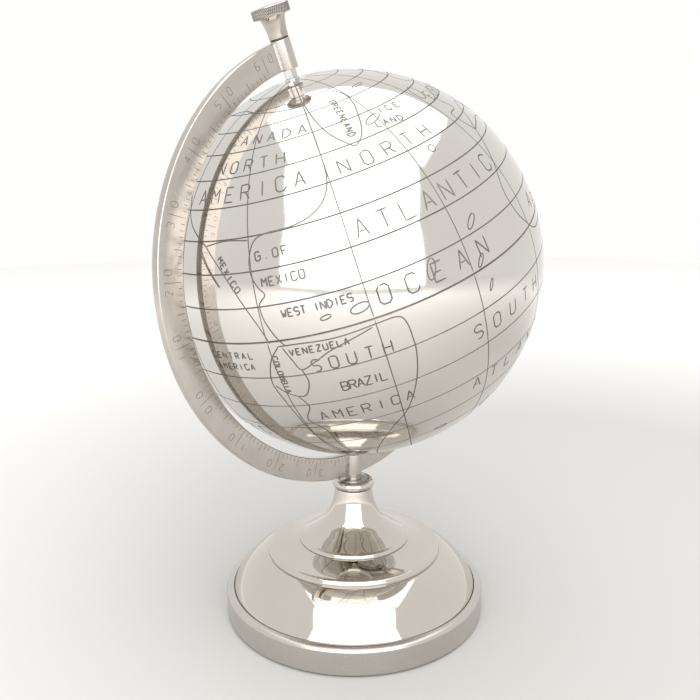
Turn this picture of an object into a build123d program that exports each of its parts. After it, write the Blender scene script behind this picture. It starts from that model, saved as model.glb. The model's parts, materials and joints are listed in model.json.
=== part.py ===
"""Desktop globe on a stand: a polished metal globe that spins on a tilted rod.

The rod is held in the two pole bosses of a flat half-ring arm, and the arm
stands on a stack of turned shells that one tie rod clamps together.

Frame: origin on the base's axis, at the underside of the felt pad. +Z is up,
the arm lies in the XZ plane on the -X side, and the north pole leans to -X.
All sizes are in millimetres.
"""
import math
import os

from build123d import *

# ---------------------------------------------------------------- globe
GLOBE_RADIUS = 100.0
GLOBE_WALL = 1.6
GLOBE_TILT = 23.4              # degrees between the spin axis and upright
SEAM_HEIGHT = 13.0             # joint of the two shells, above the globe's centre
SLEEVE_WIDTH = 12.0
SLEEVE_WALL = 1.5
LINE_DEPTH = 0.22              # turned latitude lines, V-shaped
LINE_WIDTH = 0.55
NORTH_LINES = 9
NORTH_FIRST_STEP = 8.9         # degrees from the seam to the next line
NORTH_SHRINK = 0.965           # each step is this much of the one before
SOUTH_LINES = 9
SOUTH_FIRST_STEP = 10.0
SOUTH_SHRINK = 0.975

# ---------------------------------------------------------------- pole bushes
BUSH_FLANGE_RADIUS = 3.6
BUSH_FLANGE_THICKNESS = 0.8
BUSH_SHANK_RADIUS = 2.6
BUSH_NUT_FLATS = 8.0
BUSH_NUT_HEIGHT = 2.6
SPOT_FACE_DEPTH = 0.15         # flat on the shell under the bush's flange

# ---------------------------------------------------------------- axle rod
AXLE_RADIUS = 1.5
AXLE_TIP_CHAMFER = 0.35
AXLE_TIP_INSET = 0.4           # how far the rod's south end stays inside its boss
LOCK_NUT_FLATS = 5.5

# ---------------------------------------------------------------- arm
ARM_GAP = 4.9                  # between the globe and the bar's inner edge
BAR_WIDTH = 12.9
BAR_THICKNESS = 5.0
BAR_FRONT = 0.5                # how far the bar stands in front of the axis plane
BAR_OUTER_ROUND = 2.2
BAR_INNER_ROUND = 0.5
BOSS_RADIUS = 4.7
BOSS_INNER_PROUD = 0.2
BOSS_OUTER_PROUD = 0.4
BOSS_EDGE = 0.3

# ---------------------------------------------------------------- thumb nut
THUMB_NOSE_RADIUS = 4.6
THUMB_ROOT_RADIUS = 6.4
THUMB_NECK_LENGTH = 10.3
THUMB_NECK_CURVE = ((0.28, 0.55), (0.55, 0.80))
THUMB_HEAD_RADIUS = 9.0
THUMB_HEAD_HEIGHT = 3.8
THUMB_HEAD_EDGE = 0.35
THUMB_CROWN = 0.6
THUMB_THREAD_DEPTH = 10.5
THUMB_ENGAGEMENT = 9.6         # length of rod inside the nut when it is tight
THUMB_WASHER_RADIUS = 4.4
THUMB_WASHER_THICKNESS = 0.6

# ---------------------------------------------------------------- base shells
FELT_THICKNESS = 2.0
FELT_PROUD = 0.8               # how far the felt stands below the band
BAND_RADIUS = 73.7
BAND_HEIGHT = 14.6
BAND_FOOT_ROUND = 1.0
BAND_SHOULDER_ROUND = 4.2
BAND_WALL = 4.5
PLATE_SEAT_WALL = 3.0
LEDGE_WIDTH = 3.4
LEDGE_DEPTH = 2.0              # how far the dome's edge sits below the band's top
DOME_RISE = 18.8
DOME_TOP_RADIUS = 50.2
DOME_BULGE = 1.4
SHELL_WALL = 1.8
TIER_RADIUS = 49.4
TIER_RIM = 3.4
TIER_RIM_ROUND = 2.6
TIER_RISE = 6.4
NECK_FLANGE_RADIUS = 31.5
NECK_FLANGE_RIM = 2.4
NECK_FLANGE_ROUND = 2.0
NECK_HEIGHT = 29.7
NECK_RADIUS = 10.5
NECK_RELIEF_RADIUS = 20.0
NECK_RELIEF_HEIGHT = 20.0
NECK_CURVE = ((0.608, 0.181), (0.291, 0.375), (0.085, 0.677))
COLLAR_HEIGHT = 5.4
COLLAR_RADIUS = 12.0
COLLAR_BORE_RADIUS = 8.8
SPACER_CLEARANCE = 0.4
SPACER_HEIGHT = 5.6
SPACER_STEP_RADIUS = 3.9
SPACER_STEP_HEIGHT = 0.9

# ---------------------------------------------------------------- base fixings
PLATE_THICKNESS = 1.5
PLATE_CUP_RADIUS = 12.0
PLATE_CUP_DEPTH = 6.5
WEIGHT_RADIUS = 62.0
WEIGHT_HEIGHT = 10.0
WEIGHT_EDGE = 1.5
TIE_ROD_RADIUS = 2.5
TIE_ROD_DEPTH = 11.0           # thread in the arm's lower boss
TIE_NUT_FLATS = 8.0
TIE_NUT_HEIGHT = 4.0
TIE_ROD_TAIL = 0.9             # rod below the nut
TIE_WASHER_RADIUS = 5.0
TIE_WASHER_THICKNESS = 1.0

# ---------------------------------------------------------------- fits
THREAD_CLEARANCE = 0.05
RUNNING_CLEARANCE = 0.05
HOLE_CLEARANCE = 0.1
SEAT_CLEARANCE = 0.2
END_PLAY = 0.15                # between each bush's flange and its lock nut
NUT_CHAMFER = 0.3
CUT_SPARE = 1.0                # how far a drilled hole's cutter runs past the face

# ---------------------------------------------------------------- derived places
arm_inner_radius = GLOBE_RADIUS + ARM_GAP
arm_outer_radius = arm_inner_radius + BAR_WIDTH
boss_inner_end = arm_inner_radius - BOSS_INNER_PROUD
boss_outer_end = arm_outer_radius + BOSS_OUTER_PROUD

felt_top = FELT_THICKNESS
plate_top = felt_top + PLATE_THICKNESS
web_bottom = felt_top + PLATE_CUP_DEPTH
cup_top = web_bottom + PLATE_THICKNESS
tie_nut_top = web_bottom - TIE_WASHER_THICKNESS
tie_nut_bottom = tie_nut_top - TIE_NUT_HEIGHT
band_top = FELT_PROUD + BAND_HEIGHT
dome_edge = band_top - LEDGE_DEPTH
dome_top = band_top + DOME_RISE
tier_top = dome_top + TIER_RISE
neck_top = tier_top + NECK_HEIGHT
collar_top = neck_top + COLLAR_HEIGHT
boss_foot = neck_top + SPACER_HEIGHT + SPACER_STEP_HEIGHT
globe_centre = boss_foot + boss_outer_end

band_lip_radius = BAND_RADIUS - BAND_SHOULDER_ROUND
dome_radius = band_lip_radius - SEAT_CLEARANCE
tie_hole_radius = TIE_ROD_RADIUS + HOLE_CLEARANCE
bush_flange_top = GLOBE_RADIUS - SPOT_FACE_DEPTH + BUSH_FLANGE_THICKNESS
washer_outer_face = boss_outer_end + THUMB_WASHER_THICKNESS
shell_inner_radius = GLOBE_RADIUS - GLOBE_WALL

# The globe, the rod and the thumb nut are drawn about the spin axis, with the
# globe's centre at the origin, and this places them.
spin_axis = Location((0, 0, globe_centre), (0, -GLOBE_TILT, 0))


def turned(start, *steps):
    """Solid turned about Z. A step is the next corner as (radius, height), or
    ("arc", middle, end), or ("curve", points to pass through). It closes itself."""
    first = Vector(start[0], 0, start[1])
    here = first
    edges = []
    for step in steps:
        if step[0] in ("arc", "curve"):
            through = [Vector(radius, 0, height) for radius, height in step[1:]]
            make = ThreePointArc if step[0] == "arc" else Spline
            edges.append(make(here, *through))
            here = through[-1]
        else:
            end = Vector(step[0], 0, step[1])
            edges.append(Line(here, end))
            here = end
    edges.append(Line(here, first))
    return revolve(make_face(edges), axis=Axis.Z)


def ring(outer_radius, inner_radius, bottom, top):
    """Plain tube or washer on Z."""
    return turned((inner_radius, bottom), (outer_radius, bottom), (outer_radius, top), (inner_radius, top))


def rod(radius, bottom, top, chamfer_length):
    """Round bar on Z with both ends chamfered."""
    return turned(
        (0, bottom),
        (radius - chamfer_length, bottom),
        (radius, bottom + chamfer_length),
        (radius, top - chamfer_length),
        (radius - chamfer_length, top),
        (0, top),
    )


def hex_corner_radius(flats):
    """Half the width across the corners of a hexagon."""
    return flats / 2 / math.cos(math.pi / 6)


def hex_nut(flats, bore_radius, bottom, top):
    """Hexagon nut on Z with its corners turned off at both ends."""
    corner_radius = hex_corner_radius(flats)
    prism = Pos(0, 0, bottom) * extrude(RegularPolygon(flats / 2, 6, major_radius=False), top - bottom)
    envelope = turned(
        (bore_radius, bottom),
        (corner_radius - NUT_CHAMFER, bottom),
        (corner_radius, bottom + NUT_CHAMFER),
        (corner_radius, top - NUT_CHAMFER),
        (corner_radius - NUT_CHAMFER, top),
        (bore_radius, top),
    )
    return prism & envelope


def on_globe(radius, latitude):
    """Point (radius from the axis, height) on a sphere about the globe's centre."""
    angle = math.radians(latitude)
    return radius * math.cos(angle), radius * math.sin(angle)


def corner(centre, radius, degrees):
    """Point on a small round of a turned outline."""
    angle = math.radians(degrees)
    return centre[0] + radius * math.cos(angle), centre[1] + radius * math.sin(angle)


def line_latitudes(first_step, shrink, count):
    """Latitudes of the turned lines on one side of the seam, as steps add up."""
    steps = [first_step * shrink ** number for number in range(count)]
    return [sum(steps[: number + 1]) for number in range(count)]


# ---------------------------------------------------------------- globe pieces
seam_latitude = math.degrees(math.asin(SEAM_HEIGHT / GLOBE_RADIUS))
inner_seam_latitude = math.degrees(math.asin(SEAM_HEIGHT / shell_inner_radius))
bush_hole_radius = BUSH_SHANK_RADIUS + HOLE_CLEARANCE
half_line = math.degrees(LINE_WIDTH / 2 / GLOBE_RADIUS)
spot_face_radius = BUSH_FLANGE_RADIUS + HOLE_CLEARANCE


def shell(sign, latitudes):
    """One shell of the globe, from the seam to its pole, with its turned lines."""
    outer_end = math.degrees(math.acos(spot_face_radius / GLOBE_RADIUS))
    inner_end = math.degrees(math.acos(bush_hole_radius / shell_inner_radius))
    face_height = GLOBE_RADIUS - SPOT_FACE_DEPTH
    steps = []
    here = seam_latitude
    for latitude in latitudes:
        before = latitude - sign * half_line
        after = latitude + sign * half_line
        steps.append(("arc", on_globe(GLOBE_RADIUS, (here + before) / 2), on_globe(GLOBE_RADIUS, before)))
        steps.append(on_globe(GLOBE_RADIUS - LINE_DEPTH, latitude))
        steps.append(on_globe(GLOBE_RADIUS, after))
        here = after
    pole = sign * outer_end
    steps.append(("arc", on_globe(GLOBE_RADIUS, (here + pole) / 2), on_globe(GLOBE_RADIUS, pole)))
    steps.append((spot_face_radius, sign * face_height))
    steps.append((bush_hole_radius, sign * face_height))
    steps.append(on_globe(shell_inner_radius, sign * inner_end))
    inner_middle = on_globe(shell_inner_radius, (sign * inner_end + inner_seam_latitude) / 2)
    steps.append(("arc", inner_middle, on_globe(shell_inner_radius, inner_seam_latitude)))
    return turned(on_globe(GLOBE_RADIUS, seam_latitude), *steps)


def north_shell():
    """Upper bowl of the globe."""
    steps = line_latitudes(NORTH_FIRST_STEP, NORTH_SHRINK, NORTH_LINES)
    return shell(1, [seam_latitude + step for step in steps])


def south_shell():
    """Lower bowl of the globe."""
    steps = line_latitudes(SOUTH_FIRST_STEP, SOUTH_SHRINK, SOUTH_LINES)
    return shell(-1, [seam_latitude - step for step in steps])


def seam_sleeve():
    """Band inside the seam that joins the two bowls."""
    outer_radius = shell_inner_radius - THREAD_CLEARANCE
    low = SEAM_HEIGHT - SLEEVE_WIDTH / 2
    high = SEAM_HEIGHT + SLEEVE_WIDTH / 2
    latitudes = [math.degrees(math.asin(height / outer_radius)) for height in (low, SEAM_HEIGHT, high)]
    bottom, middle, top = (on_globe(outer_radius, latitude) for latitude in latitudes)
    bore_radius = top[0] - SLEEVE_WALL
    return turned((bore_radius, low), bottom, ("arc", middle, top), (bore_radius, high))


def pole_bush(sign):
    """Flanged bush that carries one pole of the globe on the rod."""
    seat = GLOBE_RADIUS - SPOT_FACE_DEPTH
    inner_end = shell_inner_radius - BUSH_NUT_HEIGHT - HOLE_CLEARANCE
    bore_radius = AXLE_RADIUS + RUNNING_CLEARANCE
    return turned(
        (bore_radius, sign * inner_end),
        (BUSH_SHANK_RADIUS, sign * inner_end),
        (BUSH_SHANK_RADIUS, sign * seat),
        (BUSH_FLANGE_RADIUS, sign * seat),
        (BUSH_FLANGE_RADIUS, sign * bush_flange_top),
        (bore_radius, sign * bush_flange_top),
    )


def pole_bush_nut(sign):
    """Nut inside the globe that draws the bush's flange onto the shell."""
    seat = math.sqrt(shell_inner_radius ** 2 - hex_corner_radius(BUSH_NUT_FLATS) ** 2)
    bore_radius = BUSH_SHANK_RADIUS + THREAD_CLEARANCE
    nut = hex_nut(BUSH_NUT_FLATS, bore_radius, seat - BUSH_NUT_HEIGHT, seat)
    return nut if sign > 0 else Rot(180, 0, 0) * nut


# ---------------------------------------------------------------- rod and arm
def axle_rod():
    """Threaded rod through both pole bosses and the whole globe."""
    south_end = -(boss_outer_end - AXLE_TIP_INSET)
    north_end = washer_outer_face + THUMB_ENGAGEMENT
    return rod(AXLE_RADIUS, south_end, north_end, AXLE_TIP_CHAMFER)


def lock_nut(sign):
    """Hexagon nut between a pole boss and the globe's bush."""
    inner_face = bush_flange_top + END_PLAY
    nut = hex_nut(LOCK_NUT_FLATS, AXLE_RADIUS + THREAD_CLEARANCE, inner_face, boss_inner_end)
    return nut if sign > 0 else Rot(180, 0, 0) * nut


def boss(bottom, top):
    """Round boss on Z with small chamfers at its ends."""
    return rod(BOSS_RADIUS, bottom, top, BOSS_EDGE)


def meridian_arm():
    """Flat half-ring bar with a boss at each pole and one over the base."""
    section = Plane.YZ * Pos(BAR_THICKNESS / 2 - BAR_FRONT, (arm_inner_radius + arm_outer_radius) / 2)
    section = section * Rectangle(BAR_THICKNESS, BAR_WIDTH)
    edges_by_height = section.vertices().group_by(Axis.Z)
    section = fillet(edges_by_height[-1], BAR_OUTER_ROUND)
    section = fillet(section.vertices().group_by(Axis.Z)[0], BAR_INNER_ROUND)
    bar = revolve(section, axis=Axis((0, 0, 0), (0, -1, 0)), revolution_arc=180)
    arm = bar + boss(boss_inner_end, boss_outer_end) + boss(-boss_outer_end, -boss_inner_end)
    arm = spin_axis * arm
    arm = arm + boss(boss_foot, globe_centre - boss_inner_end)
    bores = Cylinder(AXLE_RADIUS + THREAD_CLEARANCE, 2 * (boss_outer_end + CUT_SPARE))
    arm = arm - spin_axis * bores
    thread_radius = TIE_ROD_RADIUS + THREAD_CLEARANCE
    thread_end = boss_foot + TIE_ROD_DEPTH + HOLE_CLEARANCE
    return arm - rod(thread_radius, boss_foot - CUT_SPARE, thread_end, AXLE_TIP_CHAMFER)


# ---------------------------------------------------------------- thumb nut
def thumb_washer():
    """Thin washer between the thumb nut's nose and the arm's upper boss."""
    return ring(THUMB_WASHER_RADIUS, AXLE_RADIUS + HOLE_CLEARANCE, boss_outer_end, washer_outer_face)


def thumb_nut():
    """Trumpet-necked nut with a round head for the fingers."""
    nose = washer_outer_face
    root = nose + THUMB_NECK_LENGTH
    head_top = root + THUMB_HEAD_HEIGHT
    bore_radius = AXLE_RADIUS + THREAD_CLEARANCE
    bore_end = nose + THUMB_THREAD_DEPTH
    flare = THUMB_ROOT_RADIUS - THUMB_NOSE_RADIUS
    trumpet = []
    for out, up in THUMB_NECK_CURVE:
        trumpet.append((THUMB_NOSE_RADIUS + out * flare, nose + up * THUMB_NECK_LENGTH))
    rim = THUMB_HEAD_RADIUS - THUMB_HEAD_EDGE
    crown_radius = (rim ** 2 + THUMB_CROWN ** 2) / (2 * THUMB_CROWN)
    crown_centre = head_top + THUMB_CROWN - crown_radius
    crown_middle = (rim / 2, crown_centre + math.sqrt(crown_radius ** 2 - rim ** 2 / 4))
    return turned(
        (bore_radius, nose),
        (THUMB_NOSE_RADIUS, nose),
        ("curve", *trumpet, (THUMB_ROOT_RADIUS, root)),
        (rim, root),
        (THUMB_HEAD_RADIUS, root + THUMB_HEAD_EDGE),
        (THUMB_HEAD_RADIUS, head_top - THUMB_HEAD_EDGE),
        (rim, head_top),
        ("arc", crown_middle, (0, head_top + THUMB_CROWN)),
        (0, bore_end + bore_radius),
        (bore_radius, bore_end),
    )


# ---------------------------------------------------------------- base pieces
def base_band():
    """Lowest outer ring: upright side, round shoulder and the dome's ledge."""
    foot = (BAND_RADIUS - BAND_FOOT_ROUND, FELT_PROUD + BAND_FOOT_ROUND)
    shoulder = (BAND_RADIUS - BAND_SHOULDER_ROUND, band_top - BAND_SHOULDER_ROUND)
    plate_seat_radius = BAND_RADIUS - PLATE_SEAT_WALL
    inner_radius = BAND_RADIUS - BAND_WALL
    ledge_radius = band_lip_radius - LEDGE_WIDTH
    return turned(
        (plate_seat_radius, FELT_PROUD),
        (foot[0], FELT_PROUD),
        ("arc", corner(foot, BAND_FOOT_ROUND, -45), (BAND_RADIUS, foot[1])),
        (BAND_RADIUS, shoulder[1]),
        ("arc", corner(shoulder, BAND_SHOULDER_ROUND, 45), (shoulder[0], band_top)),
        (band_lip_radius, dome_edge),
        (ledge_radius, dome_edge),
        (ledge_radius, dome_edge - SHELL_WALL),
        (inner_radius, dome_edge - SHELL_WALL - LEDGE_WIDTH),
        (inner_radius, plate_top),
        (plate_seat_radius, plate_top),
    )


def bulged(low, high, bulge):
    """Middle point of an arc that bows out from the line between two points."""
    run = (high[0] - low[0], high[1] - low[1])
    length = math.hypot(*run)
    middle = ((low[0] + high[0]) / 2, (low[1] + high[1]) / 2)
    return middle[0] + run[1] / length * bulge, middle[1] - run[0] / length * bulge


def base_dome():
    """Domed shell that rises from the band's ledge to the middle tier."""
    low = (dome_radius, band_top)
    high = (DOME_TOP_RADIUS, dome_top)
    inner_low = (dome_radius - SHELL_WALL, band_top)
    inner_high = (DOME_TOP_RADIUS - SHELL_WALL, dome_top - SHELL_WALL)
    return turned(
        (inner_low[0], dome_edge),
        (dome_radius, dome_edge),
        low,
        ("arc", bulged(low, high, DOME_BULGE), high),
        (tie_hole_radius, dome_top),
        (tie_hole_radius, dome_top - SHELL_WALL),
        inner_high,
        ("arc", bulged(inner_low, inner_high, DOME_BULGE), inner_low),
    )


def middle_tier():
    """Shallow stepped shell between the dome and the neck."""
    rim_top = dome_top + TIER_RIM
    edge = (TIER_RADIUS - TIER_RIM_ROUND, rim_top - TIER_RIM_ROUND)
    inner_radius = TIER_RADIUS - SHELL_WALL
    return turned(
        (inner_radius, dome_top),
        (TIER_RADIUS, dome_top),
        (TIER_RADIUS, edge[1]),
        ("arc", corner(edge, TIER_RIM_ROUND, 45), (edge[0], rim_top)),
        (NECK_FLANGE_RADIUS, tier_top),
        (tie_hole_radius, tier_top),
        (tie_hole_radius, tier_top - SHELL_WALL),
        (NECK_FLANGE_RADIUS, tier_top - SHELL_WALL),
        (inner_radius, rim_top - SHELL_WALL),
    )


def neck():
    """Flared neck with a thin round flange at its foot."""
    rim_top = tier_top + NECK_FLANGE_RIM
    edge = (NECK_FLANGE_RADIUS - NECK_FLANGE_ROUND, rim_top - NECK_FLANGE_ROUND)
    span = edge[0] - NECK_RADIUS
    rise = neck_top - rim_top
    flare = [(NECK_RADIUS + out * span, rim_top + up * rise) for out, up in NECK_CURVE]
    return turned(
        (NECK_RELIEF_RADIUS, tier_top),
        (NECK_FLANGE_RADIUS, tier_top),
        (NECK_FLANGE_RADIUS, edge[1]),
        ("arc", corner(edge, NECK_FLANGE_ROUND, 45), (edge[0], rim_top)),
        ("curve", *flare, (NECK_RADIUS, neck_top)),
        (tie_hole_radius, neck_top),
        (tie_hole_radius, tier_top + NECK_RELIEF_HEIGHT),
    )


def collar_ring():
    """Beaded ring round the arm's seat on top of the neck."""
    bead = COLLAR_HEIGHT / 2
    middle = neck_top + bead
    bead_centre = COLLAR_RADIUS - bead
    return turned(
        (COLLAR_BORE_RADIUS, neck_top),
        (bead_centre, neck_top),
        ("arc", (COLLAR_RADIUS, middle), (bead_centre, collar_top)),
        (COLLAR_BORE_RADIUS, collar_top),
    )


def seat_spacer():
    """Stepped seat inside the collar that the arm's lower boss stands on."""
    flange_top = neck_top + SPACER_HEIGHT
    outer_radius = COLLAR_BORE_RADIUS - SPACER_CLEARANCE
    return turned(
        (tie_hole_radius, neck_top),
        (outer_radius, neck_top),
        (outer_radius, flange_top),
        (SPACER_STEP_RADIUS, flange_top),
        (SPACER_STEP_RADIUS, boss_foot),
        (tie_hole_radius, boss_foot),
    )


def bottom_plate():
    """Steel plate that closes the base, with a raised cup for the tie nut."""
    rim_radius = BAND_RADIUS - PLATE_SEAT_WALL - SEAT_CLEARANCE
    cup_outer = PLATE_CUP_RADIUS + PLATE_THICKNESS
    return turned(
        (PLATE_CUP_RADIUS, felt_top),
        (rim_radius, felt_top),
        (rim_radius, plate_top),
        (cup_outer, plate_top),
        (cup_outer, cup_top),
        (tie_hole_radius, cup_top),
        (tie_hole_radius, web_bottom),
        (PLATE_CUP_RADIUS, web_bottom),
    )


def base_weight():
    """Cast disc that lies on the bottom plate and steadies the stand."""
    bore_radius = PLATE_CUP_RADIUS + PLATE_THICKNESS + SEAT_CLEARANCE
    top = plate_top + WEIGHT_HEIGHT
    return turned(
        (bore_radius, plate_top),
        (WEIGHT_RADIUS, plate_top),
        (WEIGHT_RADIUS, top - WEIGHT_EDGE),
        (WEIGHT_RADIUS - WEIGHT_EDGE, top),
        (bore_radius, top),
    )


def felt_pad():
    """Felt disc glued under the bottom plate."""
    radius = BAND_RADIUS - PLATE_SEAT_WALL - SEAT_CLEARANCE
    return Pos(0, 0, felt_top / 2) * Cylinder(radius, felt_top)


def tie_washer():
    """Washer under the bottom plate's cup."""
    return ring(TIE_WASHER_RADIUS, tie_hole_radius, tie_nut_top, web_bottom)


def tie_nut():
    """Nut that draws the whole stand together."""
    return hex_nut(TIE_NUT_FLATS, TIE_ROD_RADIUS + THREAD_CLEARANCE, tie_nut_bottom, tie_nut_top)


def tie_rod():
    """Threaded rod from the tie nut up into the arm's lower boss."""
    return rod(TIE_ROD_RADIUS, tie_nut_bottom - TIE_ROD_TAIL, boss_foot + TIE_ROD_DEPTH, AXLE_TIP_CHAMFER)


pieces = {
    "felt_pad": felt_pad(),
    "bottom_plate": bottom_plate(),
    "base_weight": base_weight(),
    "base_band": base_band(),
    "base_dome": base_dome(),
    "middle_tier": middle_tier(),
    "neck": neck(),
    "collar_ring": collar_ring(),
    "seat_spacer": seat_spacer(),
    "tie_rod": tie_rod(),
    "tie_washer": tie_washer(),
    "tie_nut": tie_nut(),
    "meridian_arm": meridian_arm(),
    "axle_rod": spin_axis * axle_rod(),
    "north_lock_nut": spin_axis * lock_nut(1),
    "south_lock_nut": spin_axis * lock_nut(-1),
    "north_shell": spin_axis * north_shell(),
    "south_shell": spin_axis * south_shell(),
    "seam_sleeve": spin_axis * seam_sleeve(),
    "north_bush": spin_axis * pole_bush(1),
    "south_bush": spin_axis * pole_bush(-1),
    "north_bush_nut": spin_axis * pole_bush_nut(1),
    "south_bush_nut": spin_axis * pole_bush_nut(-1),
    "thumb_washer": spin_axis * thumb_washer(),
    "thumb_nut": spin_axis * thumb_nut(),
}

os.makedirs("parts", exist_ok=True)
for name, piece in pieces.items():
    export_step(piece, f"parts/{name}.step")
print("globe centre height", round(globe_centre, 3))
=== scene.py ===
"""Looks of the desktop globe on a stand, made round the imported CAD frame.

Every length is in metres. The globe and its rod are drawn about the spin axis,
with the globe's centre at the origin and the north pole up, and SPIN places them.
"""
import json
import math

import bmesh
import bpy
from mathutils import Matrix, Vector, noise


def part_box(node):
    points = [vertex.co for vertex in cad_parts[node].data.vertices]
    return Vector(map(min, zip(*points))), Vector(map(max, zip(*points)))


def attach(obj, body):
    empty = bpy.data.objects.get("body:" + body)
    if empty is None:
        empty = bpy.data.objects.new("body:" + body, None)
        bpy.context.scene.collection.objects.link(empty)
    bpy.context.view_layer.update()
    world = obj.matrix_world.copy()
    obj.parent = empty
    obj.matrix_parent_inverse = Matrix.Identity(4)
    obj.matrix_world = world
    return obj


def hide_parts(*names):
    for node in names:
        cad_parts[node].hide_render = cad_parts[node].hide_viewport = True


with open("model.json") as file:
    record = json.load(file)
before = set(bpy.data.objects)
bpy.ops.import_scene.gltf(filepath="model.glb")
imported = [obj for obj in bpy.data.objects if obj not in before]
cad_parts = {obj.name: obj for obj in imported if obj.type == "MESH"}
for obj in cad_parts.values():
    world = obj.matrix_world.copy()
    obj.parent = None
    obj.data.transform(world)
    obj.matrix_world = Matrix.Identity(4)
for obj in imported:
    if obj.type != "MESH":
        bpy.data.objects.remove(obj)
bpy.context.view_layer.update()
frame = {"nodes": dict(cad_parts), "record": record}

MM = 0.001

# ---------------------------------------------------------------- places from the frame
joint = next(j for j in frame["record"]["behaviour"]["joints"] if j["name"] == "globe_spin")
CENTRE = Vector(joint["pos_m"])
POLE = Vector(joint["axis"]).normalized()
SIDE = Vector((0, 1, 0))
ACROSS = SIDE.cross(POLE)
SPIN = Matrix.Translation(CENTRE) @ Matrix((ACROSS, SIDE, POLE)).transposed().to_4x4()

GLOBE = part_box("south_shell")[1].y          # radius of the ball
ARM_OUTER = -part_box("meridian_arm")[0].x - 0.01 * MM    # outer radius of the half-ring bar
TILT = math.acos(POLE.z)


def reach(node):
    """Radius, bottom and top of a node that is turned about the stand's axis."""
    low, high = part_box(node)
    return high.x, low.z, high.z


# ---------------------------------------------------------------- sizes of the looks
GLOBE_WALL = 1.6 * MM
SEAM_HEIGHT = 13.0 * MM
LINE_DEPTH = 0.2 * MM
LINE_WIDTH = 0.62 * MM
NORTH_LINES = (9, 8.9, 0.965)     # how many, first step in degrees, shrink of each step
SOUTH_LINES = (9, 10.0, 0.975)
MERIDIANS = 13
FIRST_MERIDIAN = -130.0
HAMMER = 0.05 * MM                # slow unevenness of the hand-polished skin
HAMMER_WAVES = (28, 61)           # its broad and its fine waves, per metre
SKIN_DROP = 0.13 * MM             # keeps the uneven skin and its cut lines inside the ball
POLE_RIM = 3.7 * MM               # where the skin ends, under the bush's flange
POLE_BORE = 2.7 * MM              # hole for the bush in each pole of the ball
AXLE_BORE = 1.55 * MM             # hole for the rod in the pole bosses and the thumb nut
TIE_BORE = 2.55 * MM              # hole for the tie rod in the arm's base boss
TIE_HOLE = 2.6 * MM               # hole for the tie rod in the pieces of the base

DOME_BULGE = 2.3 * MM             # how far the dome stands out of its straight flank

BAR_WIDTH = 12.9 * MM
BAR_THICKNESS = 5.0 * MM
BAR_FRONT = -0.5 * MM
BAR_OUTER_ROUND = 0.6 * MM
BAR_CROWN = 0.28 * MM             # rise of the bar's outer face at its middle
BAR_INNER_ROUND = 0.5 * MM
BOSS_RADIUS = 4.7 * MM
BOSS_OUTER_PROUD = 0.4 * MM
BOSS_INNER_PROUD = 0.2 * MM

# ---------------------------------------------------------------- materials


def new_material(name, color, metallic, roughness):
    """A Principled material, its shader and its node tree."""
    material = bpy.data.materials.new(name)
    material.use_nodes = True
    shader = material.node_tree.nodes["Principled BSDF"]
    shader.inputs["Base Color"].default_value = (*color, 1)
    shader.inputs["Metallic"].default_value = metallic
    shader.inputs["Roughness"].default_value = roughness
    return material, shader, material.node_tree


def link(tree, source, target):
    tree.links.new(source, target)


def grain(tree, scale, stretch=(1, 1, 1), detail=4.0, turn=(0, 0, 0)):
    """Noise over the object's own coordinates, in cycles per metre."""
    place = tree.nodes.new("ShaderNodeTexCoord")
    mapping = tree.nodes.new("ShaderNodeMapping")
    mapping.inputs["Scale"].default_value = stretch
    mapping.inputs["Rotation"].default_value = turn
    texture = tree.nodes.new("ShaderNodeTexNoise")
    texture.inputs["Scale"].default_value = scale
    texture.inputs["Detail"].default_value = detail
    link(tree, place.outputs["Object"], mapping.inputs["Vector"])
    link(tree, mapping.outputs["Vector"], texture.inputs["Vector"])
    return texture.outputs["Fac"]


def ramp(tree, source, low, high, low_at=0.3, high_at=0.7):
    """Maps a grey value to a range of numbers or colours."""
    node = tree.nodes.new("ShaderNodeValToRGB")
    grey = isinstance(low, (int, float))
    first, last = node.color_ramp.elements
    first.position = low_at
    last.position = high_at
    first.color = (low, low, low, 1) if grey else (*low, 1)
    last.color = (high, high, high, 1) if grey else (*high, 1)
    link(tree, source, node.inputs["Fac"])
    return node.outputs["Color"]


def bump(tree, source, shader, strength, distance):
    node = tree.nodes.new("ShaderNodeBump")
    node.inputs["Strength"].default_value = strength
    node.inputs["Distance"].default_value = distance
    link(tree, source, node.inputs["Height"])
    link(tree, node.outputs["Normal"], shader.inputs["Normal"])


def metal(name, light, dark, smooth, rough, scale, stretch, strength, distance, turn=(0, 0, 0)):
    """Metal with drifting colour, uneven polish and fine directional marks."""
    material, shader, tree = new_material(name, light, 1.0, smooth)
    drift = grain(tree, scale / 12)
    marks = grain(tree, scale, stretch, detail=6.0, turn=turn)
    link(tree, ramp(tree, drift, dark, light), shader.inputs["Base Color"])
    link(tree, ramp(tree, marks, smooth, rough), shader.inputs["Roughness"])
    bump(tree, marks, shader, strength, distance)
    return material


def dull(name, light, dark, roughness, scale, strength, distance, metallic=0.0):
    """Unpolished surface: mottled colour and a grainy bump."""
    material, shader, tree = new_material(name, light, metallic, roughness)
    texture = grain(tree, scale, detail=8.0)
    link(tree, ramp(tree, texture, dark, light), shader.inputs["Base Color"])
    bump(tree, texture, shader, strength, distance)
    return material


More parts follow.
